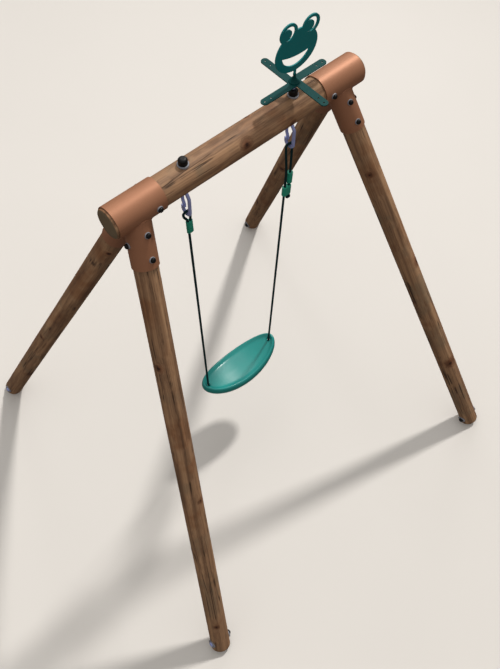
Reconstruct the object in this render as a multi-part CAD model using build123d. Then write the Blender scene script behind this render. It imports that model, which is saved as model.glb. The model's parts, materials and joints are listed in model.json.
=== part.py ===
from build123d import *
import math
import os

# A single-seat rope swing on a round-timber frame. X runs along the top beam, Y is the way the
# seat swings, Z is up, and the origin is on the ground under the middle of the beam.
# All sizes are in millimetres.

# ---- Timber frame ----
beam_diameter = 113.0
beam_length = 1122.0
beam_height = 2054.0  # ground to the beam's axis
leg_diameter = 90.0
leg_top_inset = 108.0  # beam's end to where a leg's axis meets the beam's axis
leg_spread_x = 426.0  # how far a leg's axis moves along X down to the ground
leg_spread_y = 887.0  # and along Y
foot_heel = 9.0  # height of the axis at the square-sawn foot, before the ground cut
edge_break = 3.0  # chamfer on sawn timber edges
mitre_gap = 2.0  # between the two leg tops at one end
timber_fit = 0.5  # between timber and steel sleeve, all round

# ---- Steel corner brackets: a beam sleeve with two leg sleeves welded to it ----
sleeve_wall = 3.5
beam_sleeve_length = 192.0
beam_end_show = 9.0  # timber standing out of the sleeve
leg_sleeve_reach = 216.0  # from the beam's axis, along the leg
cope_gap = 1.5  # leg top to the underside of the beam sleeve

# ---- Bracket screws with snap caps ----
screw_diameter = 8.0
screw_length = 60.0
screw_head_diameter = 13.0
screw_head_height = 5.0
screw_clearance = 0.5  # hole in the steel, on the radius
pilot_clearance = 0.05  # hole in the timber, on the radius
base_diameter = 24.0
base_height = 3.0
cap_diameter = 19.0
cap_height = 9.0
cap_wall = 1.5
screw_front_at = (88.0, 180.0)  # along the leg from the beam's axis
screw_side_at = 122.0
beam_screw_inset = 34.0  # from the sleeve's inner end

# ---- Swing hooks ----
hook_x = 246.0
hook_wire = 13.0
hook_bowl_radius = 19.5  # to the wire's centre line
hook_drop = 150.0  # beam underside to the bottom of the hook
hook_neck = 22.0  # straight part below the beam
hook_shoulder = 50.0  # where the back of the hook runs straight down
hook_bend = 24.0
hook_tip = 14.0  # straight part of the tip above the bowl's centre
shank_diameter = 12.0
shank_clearance = 0.3
saddle_diameter = 32.0
saddle_thickness = 3.0
washer_diameter = 26.0
washer_thickness = 2.5
nut_flats = 19.0
nut_height = 10.0
big_base_diameter = 42.0
big_base_height = 3.5
big_cap_diameter = 34.0
big_cap_height = 25.0
big_cap_wall = 2.5

# ---- Spring gates ----
gate_pivot = (-10.5, -31.0)  # from the shank's axis and the beam's underside
gate_thickness = 5.0
gate_width = 11.0
gate_wall = 2.6  # each of the two cheeks
lug_gap = 0.3  # cheek to lug, each side
gate_pin_diameter = 4.0
pin_running_clearance = 0.05
gate_tip_gap = 0.3
gate_foot = 8.0  # how far the gate reaches below the hook's tip
gate_eye_radius = 4.2
gate_shoulder = 22.0  # below the pin, where the gate reaches its widest
gate_waist = (28.0, 8.0)  # above the hook's tip, where the gate steps in under the tip
gate_bends = (14.0, 20.0, 12.0)
gate_slot = (26.0, 22.0)  # opening for the lug, along the hook and in height
lug_radius = 4.5
web_height = 7.0

# ---- Ropes and their fittings ----
rope_diameter = 10.0
rope_fit = 0.1
rope_on_hook = 0.3  # rope to hook wire
loop_radius = 16.0  # rope's centre line over the hook
loop_straight = 8.0  # from the arc over the hook to the loop's side corners
strand_bend = 10.0  # from a fitting to the corner where its strands part
strand_gap = 1.0  # between the two strands in the ferrule
strand_end_cover = 4.0  # how far the short strand stops inside the ferrule
ferrule_top = 48.0  # below the hook's wire
ferrule_length = 63.0
ferrule_wall = 3.4
keeper_top = 158.0
keeper_length = 54.0
keeper_diameter = 24.0
rib_count = 5
rib_gap = 2.4
rib_depth = 1.2
adjuster_top = 230.0
adjuster_length = 50.0
adjuster_web = 11.0  # between the two strands in the adjuster
adjuster_width = 21.0
adjuster_round = 4.0
knot_diameter = 25.0
tail_knot_drop = 17.0  # adjuster's underside to the knot's centre

# ---- Seat ----
seat_length = 456.0
seat_width = 187.0
seat_rim_height = 432.0  # ground to the rim at mid length
seat_bend_radius = 452.0  # of the rim, seen from the front
seat_depth = 38.0
seat_wall = 5.0
seat_rim_width = 21.0
seat_dish = 8.0
seat_edge_round = 13.0
seat_hole_inset = 29.0  # seat's end to the middle of a rope hole
seat_hole_diameter = 14.0
seat_boss_diameter = 30.0
seat_boss_depth = 12.0
seat_hole_flare = 2.5
rib_wall = 3.0
rib_spacing = 70.0
cross_ribs = 4
knot_gap = 2.0  # boss to knot

# ---- Foot bolts ----
anchor_at = 42.0  # from the foot's end, along the leg
anchor_diameter = 10.0
anchor_base_diameter = 40.0
anchor_base_height = 2.5
anchor_cap_diameter = 19.0
anchor_cap_height = 11.0
anchor_head_height = 5.0
anchor_nut_flats = 15.0
anchor_nut_height = 7.0
anchor_head_share = 0.7  # head radius over nut flats, and its rounding over its height

# ---- Sheet-metal animal ornament ----
plate_thickness = 5.0
limb_rise = 56.5  # beam's top to the underside of the four limbs
limb_thickness = 4.0
limb_width = 30.0
limb_length = 155.0
limb_offset = 7.0  # pinwheel offset of each limb
limb_hole = 6.0
limb_hole_pitch = 27.0
head_rise = 141.0  # underside of the limbs to the middle of the head
head_tilt = 7.0
head_half_width = 94.0
head_half_height = 84.0
eye_x = 50.0
eye_z = 80.0
eye_radius = 38.0
eye_slot_radius = 27.0
pupil_radius = 21.0
pupil_shift = (-8.0, -3.0)
smile_half = 64.0
smile_corner_z = -13.0
smile_upper_z = -22.0
smile_lower_z = -60.0
neck_width = 9.0
collar_base_radius = 19.0
collar_top_radius = 6.0
collar_height = 34.0
collar_bore_depth = 14.0
collar_rim = 3.0
collar_waist = (9.2, 12.2)  # radius, and height above the limbs
neck_tenon = 14.0
lock_nut_height = 8.0

# ---- Worked out from the sizes above ----
strand_spacing = rope_diameter + strand_gap
adjuster_spacing = rope_diameter + adjuster_web
beam_radius = beam_diameter / 2
leg_radius = leg_diameter / 2
rope_radius = rope_diameter / 2
beam_bore = beam_radius + timber_fit
beam_sleeve_radius = beam_bore + sleeve_wall
leg_bore = leg_radius + timber_fit
leg_sleeve_radius = leg_bore + sleeve_wall
beam_underside = beam_height - beam_radius
limb_height = beam_height + beam_radius + limb_rise
head_height = limb_height + head_rise
leg_top_x = beam_length / 2 - leg_top_inset
foot_x = leg_top_x + leg_spread_x
foot_y = leg_spread_y
sleeve_outer_end = beam_length / 2 - beam_end_show
sleeve_inner_end = sleeve_outer_end - beam_sleeve_length
rope_seat_height = beam_underside - hook_drop + hook_wire / 2  # wire's centre, bottom of the hook
seat_hole_x = seat_length / 2 - seat_hole_inset
seat_bend_z = seat_rim_height + seat_bend_radius
far = 3000.0

sides = {"left": -1, "right": 1}
fronts = {"front": -1, "back": 1}
legs = [(f"{f}_{s}", sides[s], fronts[f]) for f in fronts for s in sides]


def save(node, shape):
    """Write one node: a solid, or a list of separate solids."""
    solids = shape if isinstance(shape, list) else shape.solids()
    part = Compound(label=node, children=list(solids)) if len(solids) > 1 else solids[0]
    part.label = node
    export_step(part, f"parts/{node}.step")


def one(shape):
    """The shape as one solid, which is what every sub-part has to be."""
    solids = shape.solids()
    assert len(solids) == 1, [solid.volume for solid in solids]
    return solids[0]


def rod(start, end, radius):
    """A straight cylinder between two points."""
    axis = end - start
    return Plane(origin=start, z_dir=axis) * Cylinder(
        radius, axis.length, align=(Align.CENTER, Align.CENTER, Align.MIN)
    )


def disc(radius, low, high):
    """A cylinder on the local Z axis between two heights."""
    return Pos(0, 0, low) * Cylinder(
        radius, high - low, align=(Align.CENTER, Align.CENTER, Align.MIN)
    )


def hexagon(flats, low, high):
    """A hexagonal prism on the local Z axis, given its size across flats."""
    face = RegularPolygon(flats / 2, 6, major_radius=False)
    return Pos(0, 0, low) * extrude(face, high - low)


def dome_cap(diameter, height, wall, foot):
    """A hollow domed cap that stands on the local height foot."""
    radius = diameter / 2
    shell = disc(radius, foot, foot + height)
    shell = fillet(shell.edges().sort_by(Axis.Z)[-1], radius * 0.6)
    cavity = disc(radius - wall, foot, foot + height - wall)
    return shell - fillet(cavity.edges().sort_by(Axis.Z)[-1], radius * 0.6 - wall)


def saddle(diameter, thickness, tube_radius):
    """A disc on a tube along local X: its underside follows the tube, its top is flat."""
    radius = diameter / 2
    sag = tube_radius - math.sqrt(tube_radius**2 - radius**2)
    body = disc(radius, tube_radius - sag, tube_radius + thickness)
    body = chamfer(body.edges().sort_by(Axis.Z)[-1], thickness * 0.3)
    return body - Rotation(0, 90, 0) * Cylinder(tube_radius, 4 * radius)


# ---- Places on the frame ----
def leg_axis(side, front):
    """A leg's top point on the beam's axis, and its direction down to the foot."""
    top = Vector(side * leg_top_x, 0, beam_height)
    foot = Vector(side * foot_x, front * foot_y, 0)
    return top, (foot - top).normalized()


def across(axis, towards):
    """The unit vector nearest to a direction that is square to an axis."""
    return (towards - axis * towards.dot(axis)).normalized()


def screw_seats():
    """Each bracket screw's plane: origin on the tube's axis, Z outwards, X along the tube."""
    seats = []
    for name, side, front in legs:
        top, down = leg_axis(side, front)
        facing = across(down, Vector(0, front, 0))
        outward = across(down, Vector(side, 0, 0))
        places = [(at, facing) for at in screw_front_at] + [(screw_side_at, outward)]
        for at, normal in places:
            plane = Plane(origin=top + down * at, x_dir=down, z_dir=normal)
            seats.append((plane, leg_sleeve_radius, f"leg_{name}", side))
        inner = Vector(side * (sleeve_inner_end + beam_screw_inset), 0, beam_height)
        plane = Plane(origin=inner, x_dir=(1, 0, 0), z_dir=(0, front, 0))
        seats.append((plane, beam_sleeve_radius, "top_beam", side))
    return seats


def anchor_seat(side, front):
    """A foot bolt's plane: origin on the leg's axis, Z towards the middle of the swing."""
    top, down = leg_axis(side, front)
    foot_end = (beam_height - foot_heel) / -down.Z
    inward = across(down, Vector(-side, 0, 0))
    return Plane(origin=top + down * (foot_end - anchor_at), x_dir=down, z_dir=inward)


def drilled(node, timber):
    """Timber with the pilot holes of the screws that enter it."""
    low = base_height - screw_length
    for plane, radius, into, _ in screw_seats():
        if into == node:
            hole = disc(screw_diameter / 2 + pilot_clearance, radius + low, radius)
            timber -= plane * hole
    return timber


# ---- Timber ----
def make_beam():
    half = beam_length / 2
    centre = Vector(0, 0, beam_height)
    beam = rod(centre - Vector(half, 0, 0), centre + Vector(half, 0, 0), beam_radius)
    beam = chamfer(beam.edges().filter_by(GeomType.CIRCLE), edge_break)
    for side in sides.values():
        shank = disc(shank_diameter / 2 + shank_clearance, -beam_radius - 1, beam_radius + 1)
        beam -= Pos(side * hook_x, 0, beam_height) * shank
    return one(drilled("top_beam", beam))


def make_leg(name, side, front):
    top, down = leg_axis(side, front)
    start = top + down * beam_sleeve_radius
    end = top + down * ((beam_height - foot_heel) / -down.Z)
    leg = rod(start, end, leg_radius)
    leg = chamfer(leg.edges().filter_by(GeomType.CIRCLE).sort_by(Axis.Z)[0], edge_break)
    cope = Pos(0, 0, beam_height) * Rotation(0, 90, 0) * Cylinder(
        beam_sleeve_radius + cope_gap, far
    )
    own_side = Pos(0, front * (far / 2 + mitre_gap / 2), far / 2) * Box(far, far, far)
    leg = (leg - cope) & own_side
    plane = anchor_seat(side, front)
    leg -= plane * disc(anchor_diameter / 2 + pilot_clearance, -leg_radius - 1, leg_radius + 1)
    return one(drilled(f"leg_{name}", leg))


# ---- Brackets ----
def with_screw_holes(sleeve, around, side):
    """A sleeve with the holes of the screws that go through it into one timber."""
    for plane, radius, into, seat_side in screw_seats():
        if into == around and seat_side == side:
            hole = disc(screw_diameter / 2 + screw_clearance, radius - 2 * sleeve_wall, radius + 1)
            sleeve -= plane * hole
    return sleeve


def make_beam_sleeve(side):
    inner = Vector(side * sleeve_inner_end, 0, beam_height)
    outer = Vector(side * sleeve_outer_end, 0, beam_height)
    through = Vector(side, 0, 0)
    sleeve = rod(inner, outer, beam_sleeve_radius) - rod(inner - through, outer + through, beam_bore)
    return one(with_screw_holes(sleeve, "top_beam", side))


def make_leg_sleeve(name, side, front):
    """A tube coped to the underside of the beam sleeve and mitred against its neighbour."""
    top, down = leg_axis(side, front)
    end = top + down * leg_sleeve_reach
    sleeve = rod(top, end, leg_sleeve_radius) - rod(top, end + down, leg_bore)
    sleeve -= Pos(0, 0, beam_height) * Rotation(0, 90, 0) * Cylinder(beam_sleeve_radius, far)
    sleeve &= Pos(0, front * far / 2, far / 2) * Box(far, far, far)
    return one(with_screw_holes(sleeve, f"leg_{name}", side))


def make_screws():
    screws, bases, caps = [], [], []
    head_low = base_height
    for plane, radius, _, _ in screw_seats():
        place = plane * Pos(0, 0, radius)
        shank = disc(screw_diameter / 2, head_low - screw_length, head_low)
        head = hexagon(screw_head_diameter, head_low, head_low + screw_head_height)
        screws.append(one(place * (shank + head)))
        hole = disc(screw_diameter / 2 + screw_clearance, radius - base_height, far)
        bases.append(one(plane * (saddle(base_diameter, base_height, radius) - hole)))
        caps.append(one(place * dome_cap(cap_diameter, cap_height, cap_wall, head_low)))
    return screws, bases, caps


# ---- Hooks ----
def hook_frame(side):
    """Local frame of a hook: origin on the beam's underside, X towards the front."""
    return Pos(side * hook_x, 0, beam_underside) * Rotation(0, 0, -90)


def make_hook(side):
    top = beam_diameter + big_base_height + washer_thickness + nut_height + 2
    if side == sides["right"]:
        top = limb_height + limb_thickness + collar_bore_depth - 1 - beam_underside
    shank = disc(shank_diameter / 2, -hook_neck / 2, top)
    bottom = hook_wire / 2 - hook_drop
    centre = bottom + hook_bowl_radius
    path = FilletPolyline(
        (0, 0, -saddle_thickness),
        (0, 0, -hook_neck),
        (hook_bowl_radius, 0, -hook_shoulder),
        (hook_bowl_radius, 0, bottom),
        (-hook_bowl_radius, 0, bottom),
        (-hook_bowl_radius, 0, centre + hook_tip),
        radius=[hook_bend, hook_bend, hook_bowl_radius - 0.1, hook_bowl_radius - 0.1],
    )
    wire = sweep(Plane(origin=path @ 0, z_dir=path % 0) * Circle(hook_wire / 2), path)
    tip = wire.faces().filter_by(GeomType.PLANE).sort_by(Axis.X)[0]
    wire = fillet(tip.edges(), hook_wire * 0.35)
    lug_width = gate_width - 2 * gate_wall - 2 * lug_gap
    pivot_x, pivot_z = gate_pivot
    lug = Pos(pivot_x, 0, pivot_z) * Rotation(90, 0, 0) * Cylinder(lug_radius, lug_width)
    web = Pos(pivot_x / 2, 0, pivot_z + 1) * Box(-pivot_x, lug_width, web_height)
    pin_hole = Pos(pivot_x, 0, pivot_z) * Rotation(90, 0, 0) * Cylinder(
        gate_pin_diameter / 2, gate_width
    )
    return one(hook_frame(side) * (shank + wire + lug + web - pin_hole))


def make_gate(side):
    pivot_x, pivot_z = gate_pivot
    tip_top = hook_wire / 2 - hook_drop + hook_bowl_radius + hook_tip
    inner = -hook_bowl_radius + hook_wire / 2 + gate_tip_gap + gate_thickness / 2
    bulge = -hook_bowl_radius + 1
    line = FilletPolyline(
        (pivot_x, 0, pivot_z),
        (bulge, 0, pivot_z - gate_shoulder),
        (bulge, 0, tip_top + gate_waist[0]),
        (inner, 0, tip_top + gate_waist[1]),
        (inner, 0, tip_top - gate_foot),
        radius=list(gate_bends),
    )
    section = Plane(origin=line @ 0, z_dir=line % 0, x_dir=(0, 1, 0)) * Rectangle(
        gate_width, gate_thickness
    )
    gate = sweep(section, line)
    eye = Pos(pivot_x, 0, pivot_z) * Rotation(90, 0, 0)
    gate += eye * Cylinder(gate_eye_radius, gate_width)
    slot = gate_width - 2 * gate_wall
    gate -= Pos(pivot_x, 0, pivot_z) * Box(gate_slot[0], slot, gate_slot[1])
    gate -= eye * Cylinder(gate_pin_diameter / 2 + pin_running_clearance, 2 * gate_width)
    return one(hook_frame(side) * gate)


def make_hook_stack(side):
    """Saddle under the beam, then base, washer, nut and cap on top of it."""
    hole = disc(shank_diameter / 2 + shank_clearance, -far, far)
    under = Rotation(180, 0, 0) * (saddle(saddle_diameter, saddle_thickness, beam_radius) - hole)
    base = saddle(big_base_diameter, big_base_height, beam_radius) - hole
    low = beam_radius + big_base_height
    washer = disc(washer_diameter / 2, low, low + washer_thickness) - hole
    low += washer_thickness
    bore = disc(shank_diameter / 2 + pilot_clearance, -far, far)
    nut = hexagon(nut_flats, low, low + nut_height) - bore
    cap = dome_cap(big_cap_diameter, big_cap_height, big_cap_wall, beam_radius + big_base_height)
    if side == sides["right"]:
        cap -= hole
    place = Pos(side * hook_x, 0, beam_height)
    return [one(place * item) for item in (under, base, washer, nut, cap)]


# ---- Foot bolts ----
def make_anchors():
    bolts, bases, nuts, caps = [], [], [], []
    for _, side, front in legs:
        plane = anchor_seat(side, front)
        seat = leg_radius + anchor_base_height
        nut_top = seat + anchor_nut_height
        bolt = disc(anchor_diameter / 2, -seat, nut_top)
        head = disc(anchor_nut_flats * anchor_head_share, -seat - anchor_head_height, -seat)
        head = fillet(head.edges().sort_by(Axis.Z)[0], anchor_head_height * anchor_head_share)
        bolts.append(one(plane * (bolt + head)))
        hole = disc(anchor_diameter / 2 + screw_clearance, 0, far)
        base = saddle(anchor_base_diameter, anchor_base_height, leg_radius) - hole
        bases.append(one(plane * base))
        bases.append(one(plane * Rotation(180, 0, 0) * base))
        bore = disc(anchor_diameter / 2 + pilot_clearance, 0, far)
        nuts.append(one(plane * (hexagon(anchor_nut_flats, seat, nut_top) - bore)))
        cap = dome_cap(anchor_cap_diameter + 2 * cap_wall, anchor_cap_height, cap_wall, seat)
        caps.append(one(plane * cap))
    return bolts, bases, nuts, caps


# ---- Ropes ----
def seat_hole_z():
    """The middle of the rope hole: half way through the boss under the dish."""
    radius = seat_bend_radius + seat_dish
    return seat_bend_z - math.sqrt(radius**2 - seat_hole_x**2) - seat_boss_depth / 2


def rope_frame(side):
    """Local frame of a rope: origin in the hook's wire, Z up along the taut rope, X to the left."""
    on_hook = Vector(side * hook_x, 0, rope_seat_height)
    hole = Vector(side * seat_hole_x, 0, seat_hole_z())
    up = (on_hook - hole).normalized()
    plane = Plane(origin=on_hook, x_dir=across(up, Vector(-1, 0, 0)), z_dir=up)
    return plane, (on_hook - hole).length


def rope_tube(side, points, eases):
    """Sweep a rope along straight runs; each ease is the length of run that a corner may use."""
    plane, _ = rope_frame(side)
    points = [Vector(x, 0, z) for x, z in points]
    radii = []
    for before, corner, after, ease in zip(points, points[1:], points[2:], eases):
        turn = math.radians((corner - before).get_angle(after - corner))
        radii.append(ease / math.tan(turn / 2))
    print("rope radii", [round(radius, 1) for radius in radii])
    path = FilletPolyline(*points, radius=radii)
    tube = sweep(Plane(origin=path @ 0, z_dir=path % 0) * Circle(rope_radius), path)
    ratio = tube.volume / (math.pi * rope_radius**2 * path.length)
    print("rope length", round(path.length, 1), "volume over section times length", round(ratio, 4))
    return one(plane * tube)


def knot_low(length):
    """Height of a seat knot's centre, along the rope from the hook's wire."""
    return -length - seat_boss_depth / 2 - knot_gap - knot_diameter / 2


loop_top = hook_wire / 2 + rope_radius + rope_on_hook
loop_side = loop_top - loop_radius - loop_straight


def make_left_rope():
    _, length = rope_frame(sides["left"])
    low = -ferrule_top - ferrule_length
    points = [
        (0, knot_low(length)),
        (0, -ferrule_top + strand_bend),
        (loop_radius, loop_side),
        (loop_radius, loop_top),
        (-loop_radius, loop_top),
        (-loop_radius, loop_side),
        (-strand_spacing, -ferrule_top + strand_bend),
        (-strand_spacing, low + strand_end_cover),
    ]
    side, end = loop_straight - 0.5, strand_bend - 1
    over = loop_radius - 0.1
    return rope_tube(sides["left"], points, [end, side, over, over, side, end])


def make_right_rope():
    _, length = rope_frame(sides["right"])
    points = [
        (0, knot_low(length)),
        (0, -keeper_top + 2 * strand_bend),
        (loop_radius, loop_side),
        (loop_radius, loop_top),
        (-loop_radius, loop_top),
        (-loop_radius, loop_side),
        (-adjuster_spacing, -keeper_top + 2 * strand_bend),
        (-adjuster_spacing, -adjuster_top - adjuster_length - tail_knot_drop),
    ]
    side, end = loop_straight - 0.5, 2 * strand_bend - 1
    over = loop_radius - 0.1
    return rope_tube(sides["right"], points, [end, side, over, over, side, end])


def ribbed(outline, length):
    """A moulded sleeve below local zero: ribs with narrower waists between them."""
    rib = (length + rib_gap) / rib_count - rib_gap
    sleeve = extrude(offset(outline, -rib_depth), -length)
    for number in range(rib_count):
        sleeve += Pos(0, 0, -number * (rib + rib_gap)) * extrude(outline, -rib)
    return sleeve


def strand_hole(x):
    return Pos(x, 0, 0) * Cylinder(rope_radius + rope_fit, far)


def make_ferrule():
    plane, _ = rope_frame(sides["left"])
    width = rope_diameter + 2 * ferrule_wall
    middle = -strand_spacing / 2
    outline = Pos(middle, 0) * SlotOverall(strand_spacing + width, width)
    sleeve = ribbed(outline, ferrule_length) - strand_hole(0) - strand_hole(-strand_spacing)
    return one(plane * Pos(0, 0, -ferrule_top) * sleeve)


def make_keeper():
    """A ribbed sleeve on the strand that comes back down from the hook."""
    plane, _ = rope_frame(sides["right"])
    sleeve = ribbed(Circle(keeper_diameter / 2), keeper_length) - strand_hole(0)
    return one(plane * Pos(-adjuster_spacing, 0, -keeper_top) * sleeve)


def make_adjuster():
    plane, _ = rope_frame(sides["right"])
    outline = Pos(-adjuster_spacing / 2, 0) * SlotOverall(
        adjuster_spacing + adjuster_width, adjuster_width
    )
    block = extrude(outline, -adjuster_length)
    block = fillet(block.faces().filter_by(Axis.Z).edges(), adjuster_round)
    block = block - strand_hole(0) - strand_hole(-adjuster_spacing)
    return one(plane * Pos(0, 0, -adjuster_top) * block)


def make_knot(side, x, z):
    """A stopper knot, drilled down to its middle for the rope's end."""
    plane, _ = rope_frame(side)
    hole = disc(rope_radius + rope_fit, 0, knot_diameter)
    return one(plane * Pos(x, 0, z) * (Sphere(knot_diameter / 2) - hole))


# ---- Seat ----
def bent(low, high):
    """The space between two depths below the rim's arc, over the whole width of the seat."""
    rings = Circle(seat_bend_radius + high) - Circle(seat_bend_radius + low)
    return extrude(Plane.XZ * Pos(0, seat_bend_z) * rings, far / 4, both=True)


def oval(inset):
    """The seat's oval outline moved inwards, as a tall prism."""
    face = Ellipse(seat_length / 2 - inset, seat_width / 2 - inset)
    return extrude(Pos(0, 0, seat_rim_height - 200) * face, 400)


def make_seat():
    shell = oval(0) & bent(0, seat_depth)
    shell = fillet(shell.edges().sort_by(Axis.Z)[-1], seat_edge_round)
    shell -= oval(seat_rim_width) & bent(-seat_length / 3, seat_dish)
    hollow = oval(seat_wall) & bent(seat_dish + seat_wall, seat_depth + seat_length / 3)
    for number in range(cross_ribs):
        x = (number - (cross_ribs - 1) / 2) * rib_spacing
        hollow -= Pos(x, 0, seat_rim_height) * Box(rib_wall, far, far)
    hollow -= Pos(0, 0, seat_rim_height) * Box(far, rib_wall, far)
    shell -= hollow
    for side in sides.values():
        place = Pos(side * seat_hole_x, 0, seat_hole_z())
        half = seat_boss_depth / 2
        shell += place * disc(seat_boss_diameter / 2, -half, half - seat_wall / 2)
        radius = seat_hole_diameter / 2
        shell -= place * disc(radius, -half, half)
        shell -= place * disc(radius + seat_hole_flare, half, 4 * half)
        flare = Cone(radius, radius + seat_hole_flare, half, align=(Align.CENTER, Align.CENTER, Align.MIN))
        shell -= place * flare
        shell -= place * Rotation(180, 0, 0) * flare
        shell -= place * disc(knot_diameter * 0.62, -40, -half)
    return one(shell)


# ---- Ornament ----
def make_head():
    face = Ellipse(head_half_width, head_half_height)
    for x in (-eye_x, eye_x):
        face += Pos(x, eye_z) * Circle(eye_radius)
    for x in (-eye_x, eye_x):
        slot = Circle(eye_slot_radius) - Pos(*pupil_shift) * Circle(pupil_radius)
        face -= Pos(x, eye_z) * slot
    upper = ThreePointArc((-smile_half, smile_corner_z), (0, smile_upper_z), (smile_half, smile_corner_z))
    lower = ThreePointArc((smile_half, smile_corner_z), (0, smile_lower_z), (-smile_half, smile_corner_z))
    face -= make_face(upper + lower)
    face = Rotation(0, 0, -head_tilt) * face
    neck_bottom = limb_height + limb_thickness + collar_height - neck_tenon - head_height
    neck_top = -head_half_height + 6
    neck = Pos(0, (neck_top + neck_bottom) / 2) * Rectangle(neck_width, neck_top - neck_bottom)
    plate = extrude(Plane.XZ * (face + neck), plate_thickness / 2, both=True)
    return one(Pos(hook_x, 0, head_height) * plate)


def make_collar():
    """A turned collar that flares like a trumpet from the plate's neck to the limbs."""
    low, high = limb_height + limb_thickness, limb_height + limb_thickness + collar_height
    bend = ThreePointArc(
        (collar_base_radius, collar_rim),
        collar_waist,
        (collar_top_radius, collar_height),
    )
    profile = Polyline(
        (collar_top_radius, collar_height), (0, collar_height), (0, 0), (collar_base_radius, 0),
        (collar_base_radius, collar_rim),
    )
    body = revolve(Plane.XZ * make_face(bend + profile), Axis.Z)
    body -= disc(shank_diameter / 2 + pilot_clearance, -1, collar_bore_depth)
    tenon = Pos(0, 0, collar_height - neck_tenon / 2) * Box(neck_width, plate_thickness, neck_tenon)
    return one(Pos(hook_x, 0, low) * (body - tenon))


def make_limb(quarter):
    """One flat strip, built along X and turned to its quarter of the pinwheel."""
    start = limb_width / 2 - limb_offset
    strip = Pos((start + limb_length) / 2, limb_offset) * Rectangle(limb_length - start, limb_width)
    solid = extrude(strip, limb_thickness)
    corners = solid.edges().filter_by(Axis.Z).group_by(Axis.X)[-1]
    solid = fillet(corners, limb_width / 2 - 0.5)
    for number in range(2):
        x = limb_length - limb_width / 2 - number * limb_hole_pitch
        solid -= Pos(x, limb_offset, 0) * Cylinder(limb_hole / 2, far)
    return one(Pos(hook_x, 0, limb_height) * Rotation(0, 0, 90 * quarter) * solid)


def make_lock_nut():
    bore = disc(shank_diameter / 2 + pilot_clearance, -far, far)
    nut = hexagon(nut_flats + 5, -lock_nut_height, 0) - bore
    return one(Pos(hook_x, 0, limb_height) * nut)


os.makedirs("parts", exist_ok=True)
save("top_beam", make_beam())
for name, side, front in legs:
    save(f"leg_{name}", make_leg(name, side, front))
    save(f"leg_sleeve_{name}", make_leg_sleeve(name, side, front))
screws, bases, caps = make_screws()
save("bracket_screws", screws)
save("screw_cap_bases", bases)
save("screw_caps", caps)
stacks = []
for name, side in sides.items():
    save(f"beam_sleeve_{name}", make_beam_sleeve(side))
    save(f"hook_{name}", make_hook(side))
    save(f"gate_{name}", make_gate(side))
    stacks.append(make_hook_stack(side))
for node, group in zip(("hook_saddles", "bolt_cap_bases", "hook_washers", "hook_nuts"), zip(*stacks)):
    save(node, list(group))
pins = []
for name, side in sides.items():
    save(f"bolt_cap_{name}", stacks[list(sides).index(name)][4])
    pin = Pos(gate_pivot[0], 0, gate_pivot[1]) * Rotation(90, 0, 0)
    pins.append(one(hook_frame(side) * pin * Cylinder(gate_pin_diameter / 2, gate_width + 2)))
save("gate_pins", pins)
for node, group in zip(("anchor_bolts", "anchor_bases", "anchor_nuts", "anchor_caps"), make_anchors()):
    save(node, group)
save("rope_left", make_left_rope())
save("rope_right", make_right_rope())
save("ferrule_left", make_ferrule())
save("keeper_right", make_keeper())
save("adjuster_right", make_adjuster())
for name, side in sides.items():
    save(f"seat_knot_{name}", make_knot(side, 0, knot_low(rope_frame(side)[1])))
tail = -adjuster_top - adjuster_length - tail_knot_drop
save("tail_knot_right", make_knot(sides["right"], -adjuster_spacing, tail))
save("seat", make_seat())
save("ornament_head", make_head())
save("ornament_collar", make_collar())
for quarter, name in enumerate(("right", "back", "left", "front")):
    save(f"limb_{name}", make_limb(quarter))
save("ornament_nut", make_lock_nut())
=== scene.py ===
# %% [markdown]
# A rope swing on a timber frame, finished in Blender. The steel, timber and plastic parts arrive as a
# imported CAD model, in metres, and everything here is built around it. The swing has a round-timber
# frame with painted steel corner sleeves, one moulded seat on two braided ropes, and a sheet-metal
# ornament on the beam. We load the frame first, because every later piece takes its place from it.

# %% Load the frame
import json
import math

import bmesh
import bpy
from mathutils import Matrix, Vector, noise


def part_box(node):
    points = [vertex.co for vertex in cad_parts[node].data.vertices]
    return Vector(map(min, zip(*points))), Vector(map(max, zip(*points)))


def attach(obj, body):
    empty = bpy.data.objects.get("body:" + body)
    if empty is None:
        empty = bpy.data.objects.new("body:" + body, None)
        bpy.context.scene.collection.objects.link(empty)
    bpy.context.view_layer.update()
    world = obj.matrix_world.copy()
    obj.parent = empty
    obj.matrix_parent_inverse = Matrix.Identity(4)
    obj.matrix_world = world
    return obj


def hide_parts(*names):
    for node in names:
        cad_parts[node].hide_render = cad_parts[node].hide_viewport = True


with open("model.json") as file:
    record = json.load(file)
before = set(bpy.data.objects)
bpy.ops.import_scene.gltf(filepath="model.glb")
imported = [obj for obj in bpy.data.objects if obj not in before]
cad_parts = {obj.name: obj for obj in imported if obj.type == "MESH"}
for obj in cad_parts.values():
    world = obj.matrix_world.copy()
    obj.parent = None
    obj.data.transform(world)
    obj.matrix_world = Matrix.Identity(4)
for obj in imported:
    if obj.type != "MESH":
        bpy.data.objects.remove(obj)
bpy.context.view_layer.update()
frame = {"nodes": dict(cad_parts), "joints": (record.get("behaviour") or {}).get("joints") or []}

cad = frame["nodes"]
joints = {joint["name"]: joint for joint in frame["joints"]}

# %% [markdown]
# The camera stands high over the front left corner and looks down at the swing. A camera can be
# aimed with a tracking constraint or with two plain angles. Two angles are used here: how far it is
# panned from the swing's own Y axis, and how far it is tilted down.

# %% Camera
camera_place = Vector((-1.3321, -1.5247, 4.1884))
camera_pan = math.radians(-40.9)
camera_tilt = math.radians(56.8)
camera_data = bpy.data.cameras.new("camera")
camera_data.sensor_width = 36
camera_data.lens = 45.38
camera_data.shift_x = 0.0192
camera_data.shift_y = -0.0620
camera = bpy.data.objects.new("camera", camera_data)
camera.location = camera_place
camera.rotation_euler = (math.pi / 2 - camera_tilt, 0, camera_pan)
bpy.context.scene.collection.objects.link(camera)
bpy.context.scene.camera = camera
print("camera", round(camera_place.length, 2), "m from the origin")

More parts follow.
